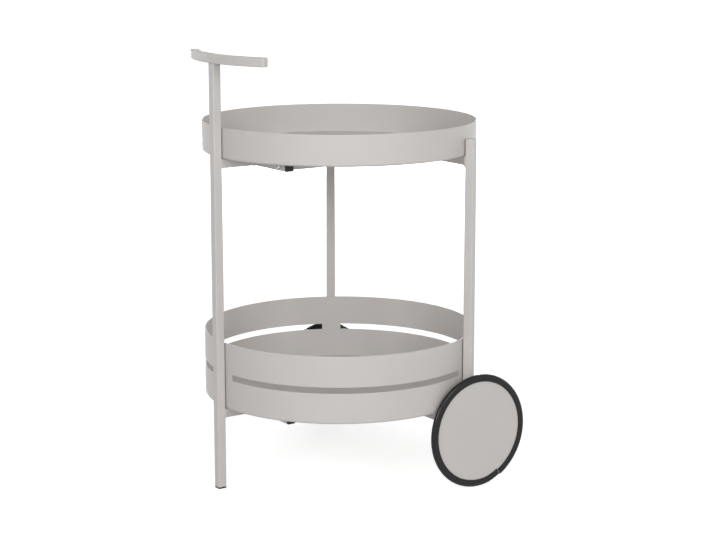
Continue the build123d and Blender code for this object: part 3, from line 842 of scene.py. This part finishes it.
# %% The seams
STEM_BEAD = 1.0 * MM
REAR_BEAD = 3.0 * MM
AXLE_BEAD = 1.6 * MM
around = [(x, y) for x, y, height in square_ring(tube / 2, TUBE_CORNER, 0)]
seams = []
for level in ("upper", "lower"):
    stem_low, stem_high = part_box(f"{level}_stem_rail")
    rail_z = (stem_low.z + stem_high.z) / 2
    for end_x in (stem_low.x, stem_high.x):
        seams.append((STEM_BEAD, [(end_x, x, rail_z + y) for x, y in around]))
    for side in (-1, 1):
        seam = []
        for x, y in around:
            to_inner_face = (-tube / 2 - x * leg_turn_cos) / leg_turn_sin
            to_side_face = (-tube / 2 + x * leg_turn_sin) / leg_turn_cos
            inwards = max(to_inner_face, to_side_face)
            seam.append((wheel_leg_x + x, side * (wheel_leg_y + inwards), rail_z + y))
        seams.append((REAR_BEAD, seam))
axle_low, axle_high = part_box("axle_tube")
for side in (-1, 1):
    seam = []
    for x, y in around:
        reach = x * leg_turn_cos - y * leg_turn_sin
        across = x * leg_turn_sin + y * leg_turn_cos
        reach = max(-tube / 2, min(tube / 2, reach))
        seam.append((wheel_leg_x + reach, side * (wheel_leg_y + across), axle_high.z))
    seams.append((AXLE_BEAD, seam))
seam_data = bpy.data.curves.new("seams", "CURVE")
seam_data.dimensions = "3D"
for radius, seam in seams:
    line = seam_data.splines.new("POLY")
    line.points.add(len(seam) - 1)
    for point, place in zip(line.points, seam):
        point.co = (*place, 1)
        point.radius = radius
    line.use_cyclic_u = True
print("seams:", len(seams))

# %% The beads
PUDDLE = 2.2 * MM
PUDDLE_SWELL = 0.1
BEAD_STEP = 0.7 * MM
beads = run_tree(weld_tree, seam_data, {
    "Puddle": PUDDLE, "Swell": PUDDLE_SWELL, "Step": BEAD_STEP,
    "Material": finishes["warm_grey_powder_coat"]})
add_piece("weld_beads", beads, "cart", "warm_grey_powder_coat")

# %% [markdown]
# ## The tyres
# A tyre is a rubber channel pressed over the disc's edge, cut to length and butted. The section is
# drawn once, as an outline with rounded corners, and a tree sweeps it round the axle from one cut
# end to the other. The channel wants to spring straight again, so one end stands a little proud at
# the joint and the other sits a little deep.

# %% The section of the tyre
TYRE_PATH_RADIUS = 90 * MM
TYRE_WIDTH = 8 * MM
TYRE_LIP_RADIUS = 84 * MM
DISC_RADIUS = 92 * MM
DISC_THICKNESS = 4 * MM
TREAD_ROUNDING = 3.9 * MM
LIP_ROUNDING = 0.8 * MM
TYRE_JOINT_GAP = 2.0 * MM
PROUD_END = 0.4 * MM
DEEP_END = 1.4 * MM
TYRE_JOINT_ANGLE = radians(-61)
CORNER_STEPS = 6


def corner_arc(centre, radius, start_angle, steps=CORNER_STEPS):
    """Points on a quarter circle that turns to the left."""
    turns = [start_angle + pi / 2 * step / steps for step in range(steps + 1)]
    return [(centre[0] + radius * cos(turn), centre[1] + radius * sin(turn)) for turn in turns]


half_width = TYRE_WIDTH / 2
half_disc = DISC_THICKNESS / 2
tread_x = wheel_radius - TREAD_ROUNDING
tread_y = half_width - TREAD_ROUNDING
lip_x = TYRE_LIP_RADIUS + LIP_ROUNDING
lip_y = half_width - LIP_ROUNDING
outline = corner_arc((tread_x, -tread_y), TREAD_ROUNDING, -pi / 2)
outline += corner_arc((tread_x, tread_y), TREAD_ROUNDING, 0)
outline += corner_arc((lip_x, lip_y), LIP_ROUNDING, pi / 2)
outline += [(TYRE_LIP_RADIUS, half_disc), (DISC_RADIUS, half_disc)]
outline += [(DISC_RADIUS, -half_disc), (TYRE_LIP_RADIUS, -half_disc)]
outline += corner_arc((lip_x, -lip_y), LIP_ROUNDING, pi)
section_data = bpy.data.curves.new("tyre_section", "CURVE")
section_line = section_data.splines.new("POLY")
section_line.points.add(len(outline) - 1)
for point, (reach, along) in zip(section_line.points, outline):
    point.co = (reach - TYRE_PATH_RADIUS, along, 0, 1)
section_line.use_cyclic_u = True
print("tyre section:", len(outline), "points")

# %% The tree of a tyre
TYRE_POINTS = 241
SPRUNG_SHARE = 0.05
tyre_tree, given = new_tree("butted_tyre", {
    "Section": "NodeSocketObject", "Path Radius": "NodeSocketFloat", "Joint Angle": "NodeSocketFloat",
    "Joint Gap": "NodeSocketFloat", "Proud End": "NodeSocketFloat", "Deep End": "NodeSocketFloat",
    "Axle": "NodeSocketVector", "Facing": "NodeSocketRotation", "Material": "NodeSocketMaterial"})
gap_angle = add_node(tyre_tree, "ShaderNodeMath", {
    0: given["Joint Gap"], 1: given["Path Radius"]}, operation="DIVIDE")
half_gap = add_node(tyre_tree, "ShaderNodeMath", {0: gap_angle.outputs[0], 1: 2.0}, operation="DIVIDE")
start = add_node(tyre_tree, "ShaderNodeMath", {
    0: given["Joint Angle"], 1: half_gap.outputs[0]}, operation="ADD")
sweep = add_node(tyre_tree, "ShaderNodeMath", {
    0: 2 * pi, 1: gap_angle.outputs[0]}, operation="SUBTRACT")
arc = add_node(tyre_tree, "GeometryNodeCurveArc", {
    "Resolution": TYRE_POINTS, "Radius": given["Path Radius"], "Start Angle": start.outputs[0],
    "Sweep Angle": sweep.outputs[0]}, mode="RADIUS")
along = add_node(tyre_tree, "GeometryNodeSplineParameter").outputs["Factor"]
proud = add_node(tyre_tree, "ShaderNodeMapRange", {
    "Value": along, "From Max": SPRUNG_SHARE, "To Min": given["Proud End"], "To Max": 0.0},
    interpolation_type="SMOOTHSTEP")
deep = add_node(tyre_tree, "ShaderNodeMapRange", {
    "Value": along, "From Min": 1 - SPRUNG_SHARE, "To Max": given["Deep End"]},
    interpolation_type="SMOOTHSTEP")
shift = add_node(tyre_tree, "ShaderNodeMath", {
    0: proud.outputs["Result"], 1: deep.outputs["Result"]}, operation="SUBTRACT")
place = add_node(tyre_tree, "GeometryNodeInputPosition").outputs["Position"]
outwards = add_node(tyre_tree, "ShaderNodeVectorMath", {0: place}, operation="NORMALIZE")
spring = add_node(tyre_tree, "ShaderNodeVectorMath", {
    0: outwards.outputs["Vector"], "Scale": shift.outputs[0]}, operation="SCALE")
sprung = add_node(tyre_tree, "GeometryNodeSetPosition", {
    "Geometry": arc.outputs["Curve"], "Offset": spring.outputs["Vector"]})
upright = add_node(tyre_tree, "GeometryNodeSetCurveNormal", {
    "Curve": sprung.outputs["Geometry"]}, mode="Z_UP")
section = add_node(tyre_tree, "GeometryNodeObjectInfo", {"Object": given["Section"]})
swept = add_node(tyre_tree, "GeometryNodeCurveToMesh", {
    "Curve": upright.outputs["Curve"], "Profile Curve": section.outputs["Geometry"], "Fill Caps": True})
placed = add_node(tyre_tree, "GeometryNodeTransform", {
    "Geometry": swept.outputs["Mesh"], "Translation": given["Axle"], "Rotation": given["Facing"]})
end_tree(tyre_tree, placed.outputs["Geometry"], given["Material"])
print("tyre:", len(tyre_tree.nodes), "nodes")

# %% The two tyres
section_object = bpy.data.objects.new("tyre_section", section_data)
scene.collection.objects.link(section_object)
for side_name, facing in (("right", (pi / 2, 0, 0)), ("left", (pi / 2, 0, pi))):
    tyre_low, tyre_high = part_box(f"{side_name}_wheel_tyre")
    mesh = run_tree(tyre_tree, bpy.data.meshes.new("blank"), {
        "Section": section_object, "Path Radius": TYRE_PATH_RADIUS, "Joint Angle": TYRE_JOINT_ANGLE,
        "Joint Gap": TYRE_JOINT_GAP, "Proud End": PROUD_END, "Deep End": DEEP_END,
        "Axle": (tyre_low + tyre_high) / 2, "Facing": facing, "Material": finishes["black_rubber"]})
    mesh.set_sharp_from_angle(angle=HARD_EDGE)
    body = f"{side_name}_wheel"
    add_piece(f"{side_name}_tyre", mesh, body, "black_rubber", [f"{body}_tyre"])
bpy.data.objects.remove(section_object)

# %% [markdown]
# ## Solids that keep their shape
# Legs, rails, the axle tube, wheel discs, hubs and hidden fixings are right as they are, and a finer
# mesh would show nothing more. Each takes the finish of its slot in the record.

# %% Finishes for the solids
for part in frame["record"]["subparts"]:
    solid = frame["nodes"][part["node"]]
    for material_slot in solid.material_slots:
        material_slot.material = finishes[part["material_slot"]]

# %% [markdown]
# ## Floor and light
# The photograph is a cut-out on white. The trolley's tones give its light away: the walls are
# brightest straight in front of the camera and fall off alike to both sides, while the narrow gaps
# beside the legs stay dark. So most of the light comes from a soft box on each side of the camera.
# A tall narrow box and a low one between them only fill in, and the tall one draws the bright line
# on the tyre. Two weak boxes and a low strip behind keep the back, the slots and the insides of the
# walls readable.
#
# A pale floor keeps the shadow. What is seen of floor and room, by the camera or as a reflection,
# is lifted to white, and further out a little more, because less light falls there.

# %% Rays that show the white surroundings
def shows_white(tree):
    """1 for a ray from the camera, off a glossy surface or through a clear one, else 0."""
    rays = add_node(tree, "ShaderNodeLightPath").outputs
    direct = add_node(tree, "ShaderNodeMath", {
        0: rays["Is Camera Ray"], 1: rays["Is Glossy Ray"]}, operation="MAXIMUM")
    either = add_node(tree, "ShaderNodeMath", {
        0: direct.outputs[0], 1: rays["Is Transmission Ray"]}, operation="MAXIMUM")
    return either.outputs[0]


# %% The floor
FLOOR_SIZE = 60.0
LIFT_NEAR = 0.7
LIFT_FAR = 1.0
NEAR_REACH = 0.9
FAR_REACH = 4.0
floor_mesh = bpy.data.meshes.new("floor")
half = FLOOR_SIZE / 2
floor_corners = [(-half, -half, 0), (half, -half, 0), (half, half, 0), (-half, half, 0)]
floor_mesh.from_pydata(floor_corners, [], [(0, 1, 2, 3)])
floor = bpy.data.objects.new("floor", floor_mesh)
scene.collection.objects.link(floor)
floor_paint = bpy.data.materials.new("pale_floor")
floor_paint.use_nodes = True
tree = floor_paint.node_tree
tree.nodes.clear()
spot = add_node(tree, "ShaderNodeTexCoord").outputs["Object"]
reach = add_node(tree, "ShaderNodeVectorMath", {0: spot}, operation="LENGTH")
lift = add_node(tree, "ShaderNodeMapRange", {
    "Value": reach.outputs["Value"], "From Min": NEAR_REACH, "From Max": FAR_REACH,
    "To Min": LIFT_NEAR, "To Max": LIFT_FAR}, interpolation_type="SMOOTHSTEP")
shown = add_node(tree, "ShaderNodeMath", {
    0: shows_white(tree), 1: lift.outputs["Result"]}, operation="MULTIPLY")
plain = add_node(tree, "ShaderNodeBsdfDiffuse", {"Color": linear("#D8D8D8")})
glow = add_node(tree, "ShaderNodeEmission", {"Color": (1, 1, 1, 1), "Strength": shown.outputs[0]})
both = add_node(tree, "ShaderNodeAddShader", {0: plain.outputs["BSDF"], 1: glow.outputs["Emission"]})
add_node(tree, "ShaderNodeOutputMaterial", {"Surface": both.outputs["Shader"]})
floor_mesh.materials.append(floor_paint)
print(f"floor: {FLOOR_SIZE:.0f} m square")

# %% The room light
ROOM_LIGHT = 0.30
world = bpy.data.worlds.new("white_room")
world.use_nodes = True
scene.world = world
tree = world.node_tree
tree.nodes.clear()
strength = add_node(tree, "ShaderNodeMapRange", {
    "Value": shows_white(tree), "To Min": ROOM_LIGHT, "To Max": 1.0})
white = add_node(tree, "ShaderNodeBackground", {
    "Color": (1, 1, 1, 1), "Strength": strength.outputs["Result"]})
add_node(tree, "ShaderNodeOutputWorld", {"Surface": white.outputs["Background"]})
print(f"room light: {ROOM_LIGHT:.2f}")

# %% The soft boxes
AIM_HEIGHT = 0.38


def soft_box(name, azimuth, elevation, distance, width, height, power):
    """A soft box that looks at the middle of the trolley; azimuth 0 is straight in front of -Y."""
    turn, lift = radians(azimuth), radians(elevation)
    back = Vector((sin(turn) * cos(lift), -cos(turn) * cos(lift), sin(lift)))
    data = bpy.data.lights.new(name, "AREA")
    data.shape = "RECTANGLE"
    data.size = width
    data.size_y = height
    data.energy = power
    lamp = bpy.data.objects.new(name, data)
    lamp.location = Vector((tray_axis.x, tray_axis.y, AIM_HEIGHT)) + back * distance
    lamp.rotation_euler = (-back).to_track_quat("-Z", "Y").to_euler()
    scene.collection.objects.link(lamp)
    print(f"{name}: {power} W")


soft_box("tall_box_by_camera", azimuth=-36, elevation=30, distance=5.2,
         width=1.0, height=4.4, power=30)
soft_box("low_box_by_camera", azimuth=-30, elevation=10, distance=5.4,
         width=1.8, height=1.8, power=24)
soft_box("box_left", azimuth=-64, elevation=22, distance=4.8,
         width=1.5, height=1.5, power=50)
soft_box("box_right", azimuth=0, elevation=22, distance=4.8,
         width=1.5, height=1.5, power=56)
soft_box("box_behind_right", azimuth=95, elevation=10, distance=4.8,
         width=1.5, height=1.5, power=28)
soft_box("box_behind_left", azimuth=-163, elevation=10, distance=4.8,
         width=1.5, height=1.5, power=20)
soft_box("low_strip_behind", azimuth=146, elevation=2, distance=4.8,
         width=3.0, height=0.7, power=110)
scene.view_settings.view_transform = "Standard"

# %% Bring the scene up to date
bpy.context.view_layer.update()
